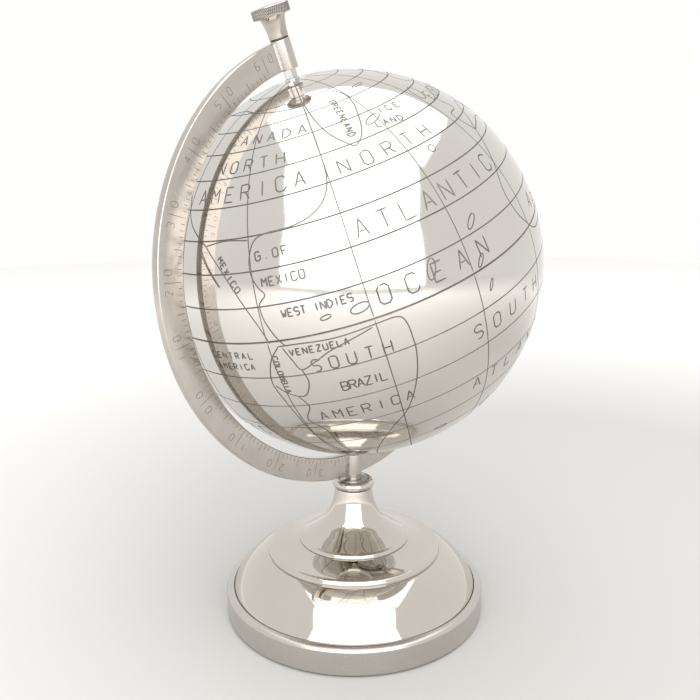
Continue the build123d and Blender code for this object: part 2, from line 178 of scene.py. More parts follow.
tilt_turn = (0, TILT, 0)
MATERIALS = {
    "globe": metal("polished_globe", (0.665, 0.64, 0.605), (0.63, 0.60, 0.56), 0.04, 0.09,
                   260, (1, 1, 14), 0.03, 0.00004, tilt_turn),
    # The engraving colour is painted shade: its dark stands in for the shade inside the cut lines.
    "engraving_painted_shade": metal("engraving_painted_shade", (0.22, 0.205, 0.19), (0.14, 0.13, 0.12), 0.45, 0.65,
                       900, (1, 1, 1), 0.4, 0.00005),
    "arm": metal("satin_arm", (0.545, 0.505, 0.46), (0.49, 0.45, 0.41), 0.19, 0.25,
                 1500, (1, 3, 1), 0.03, 0.000006),
    "arm_mark": metal("arm_mark", (0.17, 0.15, 0.13), (0.11, 0.10, 0.085), 0.5, 0.65,
                      900, (1, 1, 1), 0.3, 0.00004),
    "base": metal("polished_base", (0.61, 0.575, 0.53), (0.58, 0.54, 0.49), 0.03, 0.07,
                  300, (1, 1, 12), 0.03, 0.00003),
    "band": metal("satin_band", (0.57, 0.545, 0.51), (0.53, 0.505, 0.47), 0.20, 0.28,
                  320, (1, 1, 18), 0.04, 0.00003),
    "groove": metal("groove_shadow", (0.20, 0.17, 0.15), (0.12, 0.10, 0.09), 0.45, 0.6,
                    700, (1, 1, 6), 0.3, 0.00005),
    "thumb": metal("plated_thumb_nut", (0.50, 0.46, 0.415), (0.42, 0.38, 0.335), 0.10, 0.18,
                   500, (1, 1, 10), 0.05, 0.00003, tilt_turn),
    # The knurled head is a darker copy of the thumb nut's metal: painted shade for its knurled grooves
    # and dim reflections.
    "knurl": metal("knurled_head_painted_shade", (0.29, 0.275, 0.255), (0.22, 0.205, 0.19), 0.2, 0.3,
                   900, (1, 1, 1), 0.1, 0.00003),
    "nut": metal("bright_nut", (0.66, 0.66, 0.65), (0.55, 0.55, 0.54), 0.08, 0.16,
                 700, (1, 1, 8), 0.1, 0.00004, tilt_turn),
    "zinc": metal("zinc_steel", (0.66, 0.67, 0.68), (0.52, 0.53, 0.54), 0.26, 0.42,
                  900, (1, 1, 8), 0.15, 0.00004, tilt_turn),
    "brass": metal("turned_brass", (0.80, 0.64, 0.36), (0.68, 0.52, 0.28), 0.16, 0.28,
                   800, (1, 1, 8), 0.15, 0.00004, tilt_turn),
    "inner": metal("spun_inner", (0.62, 0.62, 0.61), (0.52, 0.52, 0.51), 0.32, 0.48,
                   400, (1, 1, 10), 0.2, 0.0001, tilt_turn),
    # The washer is painted near black: painted shadow in the gap under the thumb nut.
    "washer": metal("washer_painted_shadow", (0.10, 0.09, 0.08), (0.06, 0.055, 0.05), 0.4, 0.55,
                    900, (1, 1, 1), 0.2, 0.00003),
    "plate": dull("black_plate", (0.07, 0.07, 0.07), (0.03, 0.03, 0.03), 0.5, 600, 0.3, 0.0001),
    "iron": dull("cast_iron", (0.10, 0.095, 0.09), (0.05, 0.048, 0.045), 0.75, 500, 0.6, 0.0003, 0.6),
    "felt": dull("black_felt", (0.045, 0.05, 0.045), (0.012, 0.014, 0.012), 0.95, 2500, 0.9, 0.0003),
}
MATERIALS["felt"].node_tree.nodes["Principled BSDF"].inputs["Sheen Weight"].default_value = 0.5

# ---------------------------------------------------------------- meshes


def make_object(name, vertices, faces, materials, indices=None, place=Matrix(), sharp=40):
    """Object from a mesh, with smooth shading up to the given angle."""
    mesh = bpy.data.meshes.new(name)
    mesh.from_pydata([place @ Vector(v) for v in vertices], [], faces)
    for material in materials:
        mesh.materials.append(MATERIALS[material])
    if indices:
        mesh.polygons.foreach_set("material_index", indices)
    editor = bmesh.new()
    editor.from_mesh(mesh)
    bmesh.ops.recalc_face_normals(editor, faces=editor.faces)
    editor.to_mesh(mesh)
    editor.free()
    mesh.polygons.foreach_set("use_smooth", [True] * len(mesh.polygons))
    mesh.set_sharp_from_angle(angle=math.radians(sharp))
    piece = bpy.data.objects.new(name, mesh)
    bpy.context.collection.objects.link(piece)
    return piece


def arc(centre, radius, start, end, steps):
    """Points of a round in a turned outline, from one angle to the other, in degrees."""
    points = []
    for step in range(steps + 1):
        angle = math.radians(start + (end - start) * step / steps)
        points.append((centre[0] + radius * math.cos(angle), centre[1] + radius * math.sin(angle)))
    return points


def smooth_curve(points, steps):
    """Catmull-Rom curve through points of any dimension."""
    ends = [points[0], *points, points[-1]]
    result = []
    for before, here, there, after in zip(ends, ends[1:], ends[2:], ends[3:]):
        for step in range(steps):
            t = step / steps
            result.append(tuple(
                0.5 * (2 * b + (c - a) * t + (2 * a - 5 * b + 4 * c - d) * t * t
                       + (3 * b - a - 3 * c + d) * t ** 3)
                for a, b, c, d in zip(before, here, there, after)))
    result.append(tuple(points[-1]))
    return result


def lathe(name, outline, materials, segments=192, dark=(), place=Matrix(), shape=None, sharp=40):
    """Closed solid turned about Z from (radius, height) points. dark lists the
    spans of the outline that take the second material, and shape may move a point."""
    vertices = []
    rings = []
    for radius, height in outline:
        if radius < 1e-7:
            rings.append([len(vertices)])
            vertices.append((0, 0, height))
            continue
        rings.append(range(len(vertices), len(vertices) + segments))
        for number in range(segments):
            angle = 2 * math.pi * number / segments
            point = Vector((radius * math.cos(angle), radius * math.sin(angle), height))
            vertices.append(shape(point) if shape else point)
    faces = []
    indices = []
    for span, ring in enumerate(rings):
        following = rings[(span + 1) % len(rings)]
        if len(ring) == 1 and len(following) == 1:
            continue
        for number in range(segments):
            after = (number + 1) % segments
            if len(ring) == 1:
                face = (ring[0], following[after], following[number])
            elif len(following) == 1:
                face = (ring[number], ring[after], following[0])
            else:
                face = (ring[number], ring[after], following[after], following[number])
            faces.append(face)
            indices.append(1 if span in dark else 0)
    return make_object(name, vertices, faces, materials, indices, place, sharp)


def finish_piece(piece, body, slot, *nodes):
    """Rides a piece on its body and hides what it stands for. The finish slot is not used."""
    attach(piece, body)
    if nodes:
        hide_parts(*nodes)


# ---------------------------------------------------------------- the ball


def on_globe(radius, latitude):
    angle = math.radians(latitude)
    return radius * math.cos(angle), radius * math.sin(angle)


SEAM = math.degrees(math.asin(SEAM_HEIGHT / GLOBE))


def line_latitudes(sign, count, first, shrink):
    """Latitudes of the turned lines on one side of the seam."""
    latitudes = []
    here = SEAM
    for number in range(count):
        here += sign * first * shrink ** number
        latitudes.append(here)
    return latitudes


def hand_polished(point):
    """Moves a point of the skin by the slow unevenness of hand polishing."""
    length = point.length
    if length < GLOBE - 0.7 * GLOBE_WALL:
        return point
    broad, fine = HAMMER_WAVES
    wave = noise.noise(point * broad) + 0.5 * noise.noise(point * fine)
    return point * (1 + (HAMMER * wave - SKIN_DROP) / length)


def globe_shell(name, sign, lines):
    """One spun bowl with its turned latitude lines, from the seam to its pole."""
    half = math.degrees(LINE_WIDTH / 2 / GLOBE)
    lip = 0.25                     # degrees of rounded lip at the seam
    marks = line_latitudes(sign, *lines)
    pole_end = math.degrees(math.acos(POLE_RIM / GLOBE))
    outline = [on_globe(GLOBE - LINE_DEPTH, SEAM), on_globe(GLOBE, SEAM + sign * lip)]
    # The seam and the latitude grooves take the engraving colour, which is painted shade in the grooves.
    dark = [0]
    here = SEAM + sign * lip
    for mark in [*marks, None]:
        stop = sign * pole_end if mark is None else mark - sign * half
        steps = max(2, round(abs(stop - here)))
        for step in range(1, steps + 1):
            outline.append(on_globe(GLOBE, here + (stop - here) * step / steps))
        if mark is not None:
            dark += [len(outline) - 1, len(outline)]
            outline.append(on_globe(GLOBE - LINE_DEPTH, mark))
            here = mark + sign * half
            outline.append(on_globe(GLOBE, here))
    inner = GLOBE - GLOBE_WALL
    outline.append((POLE_BORE, sign * (GLOBE - 0.15 * MM)))
    inner_pole = math.degrees(math.acos(POLE_BORE / inner))
    seam_inside = math.degrees(math.asin(SEAM_HEIGHT / inner))
    steps = 24
    for step in range(steps + 1):
        latitude = sign * inner_pole + (seam_inside - sign * inner_pole) * step / steps
        outline.append(on_globe(inner, latitude))
    node = "north_shell" if sign > 0 else "south_shell"
    piece = lathe(name, outline, ["globe", "engraving_painted_shade"], 360, dark, SPIN, hand_polished, sharp=12)
    finish_piece(piece, "globe", "globe_metal", node)


def on_skin(latitude, longitude, height):
    """Point over the skin of the globe, in the globe's own frame."""
    a, b = math.radians(latitude), math.radians(longitude)
    point = Vector((math.cos(a) * math.cos(b), math.cos(a) * math.sin(b), math.sin(a))) * GLOBE
    return hand_polished(point) + point.normalized() * height


LONGEST_STEP = 0.7               # degrees between two points of a cut line
END_TAPER = 0.45                 # share of the width and height left at a cut's ends

# Section of a graver's cut: (share of the half width, height over the skin).
CUT = ((-1.0, -0.06 * MM), (-0.8, 0.03 * MM), (0.0, 0.02 * MM), (0.8, 0.03 * MM), (1.0, -0.06 * MM))


def cut_mesh(name, strokes, half_width, point_at, materials, place):
    """Closed cuts along strokes. point_at gives the point at (u, v) and a height, and
    strokes are lists of (u, v, aspect), where aspect turns u into the units of v."""
    vertices = []
    faces = []
    indices = []
    size = len(CUT)
    for stroke in strokes:
        start = len(vertices)
        for number, (u, v, aspect) in enumerate(stroke):
            before = stroke[max(number - 1, 0)]
            after = stroke[min(number + 1, len(stroke) - 1)]
            along = Vector(((after[0] - before[0]) * aspect, after[1] - before[1]))
            if along.length < 1e-9:
                along = Vector((1, 0))
            along.normalize()
            taper = END_TAPER if number in (0, len(stroke) - 1) else 1.0
            for share, height in CUT:
                reach_out = share * half_width * taper
                shift_u = -along.y * reach_out / aspect
                vertices.append(point_at(u + shift_u, v + along.x * reach_out, height * taper))
        for number in range(len(stroke) - 1):
            low = start + number * size
            for side in range(size):
                right = (side + 1) % size
                faces.append((low + side, low + right, low + size + right, low + size + side))
                indices.append(1 if side < size - 1 else 0)
        faces.append(tuple(range(start, start + size)))
        last = start + (len(stroke) - 1) * size
        faces.append(tuple(range(last, last + size)))
        indices += [0, 0]
    return make_object(name, vertices, faces, materials, indices, place, sharp=25)


# ---------------------------------------------------------------- single-stroke lettering
# Each stroke is a run of two-digit points, column 0 to 4 and row 0 to 6.
GLYPHS = {
    "A": "002640 1232", "B": "00063645443303 3342413000", "C": "453616050110304142",
    "D": "00062644422000", "E": "46060040 0333", "F": "460600 0333", "G": "4536160501103041432333",
    "H": "0006 4046 0343", "I": "2026", "L": "060040", "M": "0006234640", "N": "00064046",
    "O": "160501103041453616", "P": "00063645443303", "R": "00063645443303 2340",
    "S": "4536160504133342413010", "T": "0646 2620", "U": "060110304146", "V": "062046",
    "W": "0610233046", "X": "0046 0640", "Y": "062346 2320", "Z": "06460040",
    "0": "160501103041453616", "1": "152620", "2": "05163645440040",
    "3": "05163645443313 334241301001", "4": "30360242", "5": "4606033342413000",
    "6": "36160501103041423303", "7": "064610", ".": "2021", " ": "",
}
GLYPH_HEIGHT = 6
GLYPH_MIDDLE = 2
LETTER_WIDTH = 0.95              # how far the letters are squeezed sideways
LETTER_STEP = 0.17               # longest step of a stroke, in letter heights
LETTER_WOBBLE = 0.12             # most that a letter on the globe leans, in radians


def glyph_strokes(letter):
    """Strokes of a letter about its centre, with a height of one."""
    strokes = []
    for run in GLYPHS[letter].split():
        points = [(int(run[i]), int(run[i + 1])) for i in range(0, len(run), 2)]
        strokes.append([((x - GLYPH_MIDDLE) * LETTER_WIDTH / GLYPH_HEIGHT, y / GLYPH_HEIGHT - 0.5)
                        for x, y in points])
    return strokes


def subdivide(points, longest):
    """Adds points so that no step of a stroke is longer than the given length."""
    result = [points[0]]
    for here, there in zip(points, points[1:]):
        steps = max(1, math.ceil(math.dist(here, there) / longest))
        for step in range(1, steps + 1):
            result.append(tuple(a + (b - a) * step / steps for a, b in zip(here, there)))
    return result


def write_on_globe(text, start, end, height):
    """Letters of a name, evenly spaced between the centres of its first and last one.
    Places are (latitude, longitude) and the height is in degrees of arc."""
    strokes = []
    aspect = math.cos(math.radians((start[0] + end[0]) / 2))
    east = (end[1] - start[1]) * aspect
    north = end[0] - start[0]
    angle = math.atan2(north, east)
    for number, letter in enumerate(text):
        share = number / max(1, len(text) - 1)
        latitude = start[0] + north * share
        longitude = start[1] + (end[1] - start[1]) * share
        wobble = LETTER_WOBBLE * noise.noise(Vector((latitude, longitude, number)))
        for run in glyph_strokes(letter):
            placed = []
            for x, y in subdivide(run, LETTER_STEP):
                u = (x * math.cos(angle + wobble) - y * math.sin(angle + wobble)) * height
                v = (x * math.sin(angle + wobble) + y * math.cos(angle + wobble)) * height
                placed.append((longitude + u / aspect, latitude + v, aspect))
            strokes.append(placed)
    return strokes


def outline_on_globe(points, offset=0.0):
    """Smooth line through (latitude, longitude) points, moved east by the offset."""
    curve = subdivide(smooth_curve(points, 8), LONGEST_STEP)
    return [(longitude + offset, latitude, math.cos(math.radians(latitude)))
            for latitude, longitude in curve]


# Names: (text, centre of the first letter, centre of the last letter, letter height).
NAMES = (
    ("NORTH", (44, -124), (44, -91), 3.9), ("ATLANTIC", (28.5, -126), (28.5, -79), 4.6),
    ("OCEAN", (12.3, -126), (12.3, -97), 4.6), ("SOUTH", (-7.5, -105), (-7.5, -78), 4.0),
    ("ATLANTIC", (-24.5, -106), (-24.5, -58), 4.0), ("OCEAN", (-42, -96), (-42, -62), 4.4),
    ("NORTH", (52, -173), (51.5, -145), 3.3), ("AMERICA", (44.5, -179), (44.5, -139), 3.9),
    ("CANADA", (60, -172), (58.5, -134), 3.0), ("MEXICO", (28.5, -168), (21, -163), 1.7),
    ("G.OF", (28.3, -155.3), (28.5, -147.3), 2.1), ("MEXICO", (22, -154.5), (22.2, -144), 2.1),
    ("WEST INDIES", (14, -151), (14, -134), 1.9), ("CENTRAL", (4, -177), (4, -164), 1.7),
    ("AMERICA", (0.8, -176), (0.8, -164.5), 1.7), ("VENEZUELA", (4, -152), (4, -138), 1.7),
    ("SOUTH", (-0.5, -147), (-0.5, -129), 3.3), ("BRAZIL", (-8, -142), (-8, -132), 2.7),
    ("AMERICA", (-17, -151), (-17, -127), 3.3), ("COLOMBIA", (3, -157), (-7, -157), 1.5),
    ("GREENLAND", (64.5, -113), (51.5, -116), 1.6), ("ICE", (55, -98), (54.3, -89), 1.9),
    ("LAND", (51.3, -104), (50.3, -94), 1.9), ("PACIFIC", (20, 128), (20, 168), 4.6),
    ("OCEAN", (4, 132), (4, 164), 4.6), ("SOUTH PACIFIC", (-26, 118), (-26, 182), 4.2),
    ("AFRICA", (12, -66), (-2, -34), 4.6), ("EUROPE", (51, -66), (51, -36), 3.6),
    ("ASIA", (46, 0), (46, 48), 5.0), ("INDIA", (22, 10), (14, 18), 2.0),
    ("CHINA", (33, 36), (33, 54), 2.6), ("INDIAN", (-10, 0), (-10, 34), 4.2),
    ("OCEAN", (-26, 2), (-26, 34), 4.2), ("AUSTRALIA", (-25, 58), (-25, 84), 2.4),
    ("ARABIA", (24, -22), (18, -10), 1.8), ("CAPE OF", (-38, -50), (-38, -38), 1.6),
)

# Coasts and borders as (latitude, longitude), in the globe's own longitudes.
AMERICAN_LINES = (
    ((67, -130), (60, -130), (54, -130), (46, -130), (41, -131), (37, -134), (34.5, -139),
     (33.5, -145), (33.3, -152), (32, -156), (28, -158), (24, -158), (21, -156.5), (19, -155),
     (17, -157), (14, -157), (11, -156), (8, -154.5), (6, -153)),
    ((32, -174), (26, -168), (19, -163), (12, -159), (7, -157)),
    ((32, -174), (38, -183), (46, -188), (54, -194), (60, -206), (64, -214), (70, -206),
     (72, -186), (70, -166), (68, -146), (67, -130)),
    ((32, -174), (33, -166), (32.4, -158)),
    ((31, -176), (27, -173), (22, -169), (24, -171), (30, -176)),
    ((6, -155), (2, -158.5), (-4, -160.5), (-10, -159.5), (-17, -158.5), (-24, -158), (-36, -156),
     (-48, -153), (-56, -148), (-50, -146), (-42, -143), (-35, -139), (-28, -134), (-22, -128.5),
     (-13, -124.5), (-5, -122.7), (0, -122.6), (4, -123), (6, -124.5), (6.2, -129), (5.6, -140),
     (6, -150), (6, -155)),
    ((5.5, -154), (2, -152.5), (-1, -151), (0.5, -147), (2.4, -143), (3.6, -139), (5.6, -131)),
    ((-5, -160), (-8, -157), (-9, -153), (-5, -150.5), (-1, -151)),
    ((-9, -155), (-13, -153.5), (-18, -156), (-24, -153), (-34, -153), (-48, -151)),
    ((68, -129), (63, -128), (55, -124.5), (49.3, -119), (48.2, -116.5), (51, -112), (57, -107.5),
     (62, -104), (66, -103), (70, -106)),
)
ISLANDS = (                      # middle, long and short half size, turn, all in degrees
    ((53.5, -104), 2.6, 1.0, 20), ((39, -94), 1.0, 1.0, 0), ((19, -97), 2.2, 0.8, 40),
    ((9.5, -99), 1.8, 0.6, 50), ((67, -88), 2.0, 0.5, 0), ((11, -141), 1.4, 0.5, 10),
    ((11, -132.5), 2.4, 1.1, 10), ((13.5, -113), 2.6, 1.1, 70), ((2.5, -98), 1.6, 0.4, 60),
    ((-40, -118), 2.0, 0.9, 0), ((-18, -28), 3.4, 1.2, 60), ((36, 76), 4.0, 1.2, 55),
    ((54, -70), 3.0, 1.6, 70), ((7, 19), 1.4, 1.0, 80), ((-42, 102), 2.4, 1.0, 60),
    ((1, 52), 4.2, 2.0, 20),
)
OLD_WORLD = -62.0                # turns true longitudes into the globe's own
OLD_WORLD_LINES = (
    ((36, -6), (37, 10), (31, 20), (31, 32), (15, 40), (11, 43), (11, 51), (0, 42), (-12, 40),
     (-25, 34), (-34, 26), (-34, 18), (-20, 13), (-5, 12), (4, 9), (5, -7), (10, -14), (15, -17),
     (21, -17), (28, -12), (36, -6)),
    ((36, -6), (43, -9), (44, -2), (49, -3), (53, 6), (57, 9), (59, 5), (63, 6), (70, 20),
     (71, 30), (67, 42), (70, 60), (76, 100), (73, 130), (70, 160), (66, 188), (61, 170),
     (54, 160), (60, 152), (53, 138), (42, 131), (35, 127), (39, 121), (31, 122), (22, 114),
     (20, 107), (10, 107), (13, 100), (2, 103), (8, 98), (17, 95), (22, 90), (16, 82), (8, 77),
     (20, 73), (25, 63), (27, 56), (23, 59), (17, 54), (13, 45), (28, 34)),
    ((36, -6), (41, 1), (43, 5), (44, 10), (38, 16), (41, 17), (45, 13), (38, 22), (41, 27),
     (37, 29), (36, 36), (31, 33)),
    ((-12, 131), (-17, 123), (-22, 114), (-34, 115), (-32, 128), (-35, 137), (-38, 146),
     (-34, 151), (-25, 153), (-18, 146), (-11, 142), (-17, 140), (-12, 136), (-12, 131)),
)


def oval(middle, long_half, short_half, turn):
    """A closed ring of (longitude, latitude, aspect) points for a small island."""
    aspect = math.cos(math.radians(middle[0]))
    c, s = math.cos(math.radians(turn)), math.sin(math.radians(turn))
    sides = 16
    points = []
    for number in range(sides + 1):
        angle = 2 * math.pi * number / sides
        x, y = long_half * math.cos(angle), short_half * math.sin(angle)
        points.append((middle[1] + (x * c - y * s) / aspect, middle[0] + x * s + y * c, aspect))
    return points


MERIDIAN_END = 86                # latitude where a meridian stops short of the pole
SEAM_GAP = 0.4                   # degrees between a meridian and the seam
MERIDIAN_SWAY = 0.25             # degrees that a hand-drawn meridian strays


def meridian_strokes():
    """Hand-drawn lines from near one pole to near the other, each broken at the seam."""
    strokes = []
    for number in range(MERIDIANS):
        longitude = FIRST_MERIDIAN + 360 * number / MERIDIANS
        for low, high in ((-MERIDIAN_END, SEAM - SEAM_GAP), (SEAM + SEAM_GAP, MERIDIAN_END)):
            steps = round(high - low)
            run = []
            for step in range(steps + 1):
                latitude = low + (high - low) * step / steps
                sway = MERIDIAN_SWAY * noise.noise(Vector((longitude, latitude * 0.03, 0)))
                run.append((longitude + sway, latitude, math.cos(math.radians(latitude))))
            strokes.append(run)
    return strokes


def engrave_globe():
    """Meridians, coasts and names cut into the skin, coloured dark with painted shade."""
    def at(longitude, latitude, height):
        return on_skin(latitude, longitude, height)

    groups = {                   # name: (strokes, half width in degrees)
        "engraved_meridians": (meridian_strokes(), 0.17),
        "engraved_coasts": ([outline_on_globe(line) for line in AMERICAN_LINES]
                            + [outline_on_globe(line, OLD_WORLD) for line in OLD_WORLD_LINES]
                            + [oval(*island) for island in ISLANDS], 0.2),
        "engraved_names": ([stroke for name in NAMES for stroke in write_on_globe(*name)], 0.24),
    }
    for name, (strokes, half_width) in groups.items():
        piece = cut_mesh(name, strokes, half_width, at, ["globe", "engraving_painted_shade"], SPIN)
        finish_piece(piece, "globe", "globe_metal")


# ---------------------------------------------------------------- the arm
BAR_INNER = ARM_OUTER - BAR_WIDTH


def arm_point(angle, radius, depth):
    """Point of the arm in the globe's frame. The angle is from the north pole, round by -X."""
    turn = math.radians(angle)
    return Vector((-radius * math.sin(turn), depth, radius * math.cos(turn)))


def bar_section():
    """(radius, depth) points round the bar, with its rounded corners."""
    front, back = BAR_FRONT, BAR_FRONT + BAR_THICKNESS
    outer_round, inner_round = BAR_OUTER_ROUND, BAR_INNER_ROUND
    return [
        *arc((BAR_INNER + inner_round, front + inner_round), inner_round, 180, 270, 4),
        *arc((ARM_OUTER - BAR_CROWN - outer_round, front + outer_round), outer_round, 270, 342, 8),
        (ARM_OUTER - 0.3 * BAR_CROWN, front + 0.31 * BAR_THICKNESS),
        (ARM_OUTER, front + BAR_THICKNESS / 2),
        (ARM_OUTER - 0.3 * BAR_CROWN, back - 0.31 * BAR_THICKNESS),
        *arc((ARM_OUTER - BAR_CROWN - outer_round, back - outer_round), outer_round, 18, 90, 8),
        *arc((BAR_INNER + inner_round, back - inner_round), inner_round, 90, 180, 4),
    ]


def bar():
    """The half-ring bar, swept round from pole to pole."""
    section = bar_section()
    steps = 300
    vertices = [arm_point(180 * step / steps, radius, depth)
                for step in range(steps + 1) for radius, depth in section]
    size = len(section)
    faces = []
    for step in range(steps):
        for side in range(size):
            right = (side + 1) % size
            low = step * size
            faces.append((low + side, low + right, low + size + right, low + size + side))
    faces.append(tuple(range(size)))
    faces.append(tuple(range(steps * size, (steps + 1) * size)))
    return make_object("arm_bar", vertices, faces, ["arm"], None, SPIN, sharp=40)


def boss_outline(bottom, top, bore, edge=0.45 * MM):
    """Outline of a round boss with softened ends and a bore."""
    return [
        (bore, bottom), *arc((BOSS_RADIUS - edge, bottom + edge), edge, -90, 0, 5),
        *arc((BOSS_RADIUS - edge, top - edge), edge, 0, 90, 5), (bore, top),
    ]


def fillet_beside_boss(name, sign):
    """Soft blend between a pole boss and the bar's flat front. sign is 1 at the north pole."""
    radius = 1.5 * MM
    touch = math.sqrt((BOSS_RADIUS + radius) ** 2 - (radius - BAR_FRONT) ** 2)
    middle = BAR_FRONT - radius
    contact = touch * BOSS_RADIUS / (BOSS_RADIUS + radius)
    steps = 8
    outline = []
    for step in range(steps + 1):
        x = contact + (touch - contact) * step / steps
        outline.append((x, middle + math.sqrt(radius ** 2 - (x - touch) ** 2)))
    sunk = BAR_FRONT + 0.5 * MM
    outline += [(touch, sunk), (contact - 0.6 * MM, sunk)]
    ends = (BAR_INNER + 0.6 * MM, ARM_OUTER - BAR_OUTER_ROUND)
    vertices = [Vector((-x, depth, sign * height)) for height in ends for x, depth in outline]
    size = len(outline)
    faces = [(i, (i + 1) % size, size + (i + 1) % size, size + i) for i in range(size)]
    faces += [tuple(range(size)), tuple(range(size, 2 * size))]
    piece = make_object(name, vertices, faces, ["arm"], None, SPIN, sharp=40)
    finish_piece(piece, "stand", "arm_metal")


SCALE_ZERO = 96.5                # angle of the scale's nought from the north pole
SCALE_STEP = 14.9                # angle between two numbered marks
SCALE_END = 177                  # angle past which no mark is cut
SCALE_LABELS = ("60", "50", "40", "30", "20", "10", "00", "10", "20", "30", "40", "50")
LABEL_MARK = (1.0 * MM, 9.2 * MM)      # foot from the bar's inner edge, and length
HALF_MARK = (0.75 * MM, 4.4 * MM)
UNIT_MARK = (0.75 * MM, 2.3 * MM)
LABEL_HEIGHT = 3.5 * MM
LABEL_MIDDLE = 7.7 * MM          # from the bar's inner edge
LABEL_SPREAD = 2.3               # degrees from a numbered mark to each of its digits
ARM_CUT_SHARE = 0.6              # height of the arm's cuts against the globe's


def scale_point(angle, radius):
    """A stroke's point on the arm, with the aspect that turns degrees into metres."""
    return angle, radius, math.radians(1) * radius


def radial_mark(angle, foot, length):
    """A mark across the bar. The foot is measured from the bar's inner edge."""
    low = BAR_INNER + foot
    steps = 4
    return [scale_point(angle, low + length * step / steps) for step in range(steps + 1)]


def arm_scale():
    """Numbered marks, half marks and unit marks on the bar's front face."""
    strokes = []
    for number, label in enumerate(SCALE_LABELS):
        angle = SCALE_ZERO + SCALE_STEP * (number - SCALE_LABELS.index("00"))
        strokes.append(radial_mark(angle, *LABEL_MARK))
        for unit in range(1, 10):
            place = angle + SCALE_STEP * unit / 10
            if place < SCALE_END:
                strokes.append(radial_mark(place, *(HALF_MARK if unit == 5 else UNIT_MARK)))
        for letter, middle in zip(label, (angle + LABEL_SPREAD, angle - LABEL_SPREAD)):
            for run in glyph_strokes(letter):
                placed = []
                for x, y in subdivide(run, 2 * LETTER_STEP):
                    radius = BAR_INNER + LABEL_MIDDLE + y * LABEL_HEIGHT
                    turn = math.degrees(x * LABEL_HEIGHT / radius)
                    placed.append(scale_point(middle - turn, radius))
                strokes.append(placed)

    def at(angle, radius, height):
        return arm_point(angle, radius, BAR_FRONT - ARM_CUT_SHARE * height)

    half_width = 0.14 * MM
    piece = cut_mesh("arm_scale", strokes, half_width, at, ["arm", "arm_mark"], SPIN)
    finish_piece(piece, "stand", "arm_metal")


def arm():
    """Bar, pole bosses and the boss that stands on the base."""
    piece = bar()
    finish_piece(piece, "stand", "arm_metal", "meridian_arm")
    low, high = BAR_INNER - BOSS_INNER_PROUD, ARM_OUTER + BOSS_OUTER_PROUD
    for name, bottom, top in (("north_boss", low, high), ("south_boss", -high, -low)):
        boss = lathe(name, boss_outline(bottom, top, AXLE_BORE), ["arm"], 96, place=SPIN)
        finish_piece(boss, "stand", "arm_metal")
    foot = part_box("seat_spacer")[1].z
    boss = lathe("base_boss", boss_outline(foot, CENTRE.z - low, TIE_BORE), ["arm"], 96)
    finish_piece(boss, "stand", "arm_metal")
    fillet_beside_boss("north_boss_fillet", 1)
    fillet_beside_boss("south_boss_fillet", -1)
    arm_scale()


# ---------------------------------------------------------------- thumb nut
NOSE = ARM_OUTER + BOSS_OUTER_PROUD + 0.6 * MM      # top of the thin washer on the north boss
NECK_TOP = NOSE + 9.6 * MM
HEAD_TOP = NECK_TOP + 4.5 * MM
NOSE_RADIUS = 4.6 * MM
NECK_TOP_RADIUS = 6.4 * MM
HEAD_RADIUS = 8.98 * MM
HEAD_EDGE = 0.4 * MM              # plain edges above and below the knurl
HEAD_CROWN = 0.58 * MM
KNURL_TEETH = 60
KNURL_TURNS = 1.6                 # teeth that a ridge drifts sideways over the head's height
KNURL_DEPTH = 0.36 * MM
KNURL_RUN_OUT = 0.3 * MM
KNURL_LOW = NECK_TOP + HEAD_EDGE
KNURL_HIGH = HEAD_TOP - HEAD_EDGE


def knurled(point):
    """Presses crossed ridges into the head's upright side."""
    radius = math.hypot(point.x, point.y)
    if radius < HEAD_RADIUS - 1e-6 or not KNURL_LOW - 1e-7 < point.z < KNURL_HIGH + 1e-7:
        return point
    angle = math.atan2(point.y, point.x) * KNURL_TEETH
    slope = (point.z - KNURL_LOW) / (KNURL_HIGH - KNURL_LOW) * 2 * math.pi * KNURL_TURNS
    ridge = 0.5 + 0.3 * math.cos(angle + slope) + 0.2 * math.cos(angle - slope)
    end = min(1.0, min(point.z - KNURL_LOW, KNURL_HIGH - point.z) / KNURL_RUN_OUT + 0.2)
    depth = KNURL_DEPTH * (1 - ridge) * end
    return Vector((point.x * (1 - depth / radius), point.y * (1 - depth / radius), point.z))


def thumb_nut():
    """Trumpet neck, knurled head and slightly domed top."""
    flare = NECK_TOP_RADIUS - NOSE_RADIUS
    trumpet = smooth_curve([
        (NOSE_RADIUS, NOSE + 0.3 * MM), (NOSE_RADIUS + 0.06 * flare, NOSE + 3.0 * MM),
        (NOSE_RADIUS + 0.26 * flare, NOSE + 5.5 * MM), (NOSE_RADIUS + 0.55 * flare, NOSE + 7.9 * MM),
        (NECK_TOP_RADIUS, NECK_TOP - 0.02 * MM),
    ], 8)
    rows = 24
    side = [(HEAD_RADIUS, KNURL_LOW + (KNURL_HIGH - KNURL_LOW) * row / rows) for row in range(rows + 1)]
    rim = HEAD_RADIUS - HEAD_EDGE
    crown_radius = (rim ** 2 + HEAD_CROWN ** 2) / (2 * HEAD_CROWN)
    crown_centre = HEAD_TOP + HEAD_CROWN - crown_radius
    crown = []
    for step in range(1, 13):
        radius = rim * (1 - step / 12)
        crown.append((radius, crown_centre + math.sqrt(crown_radius ** 2 - radius ** 2)))
    below = [
        (AXLE_BORE, NOSE), (NOSE_RADIUS - 0.3 * MM, NOSE), *trumpet,
        (NECK_TOP_RADIUS + 0.1 * MM, NECK_TOP), (rim - 0.3 * MM, NECK_TOP), (rim, NECK_TOP + 0.05 * MM),
    ]
    bore_end = NOSE + 10.5 * MM
    above = [(rim, HEAD_TOP), *crown, (0, bore_end + AXLE_BORE), (AXLE_BORE, bore_end)]
    # The knurled side takes the darker copy of the nut's metal, which is painted shade.
    dark = range(len(below), len(below) + rows)
    piece = lathe("thumb_nut_body", below + side + above, ["thumb", "knurl"], KNURL_TEETH * 8, dark,
                  SPIN, knurled, sharp=32)
    finish_piece(piece, "thumb_nut", "thumb_metal", "thumb_nut")


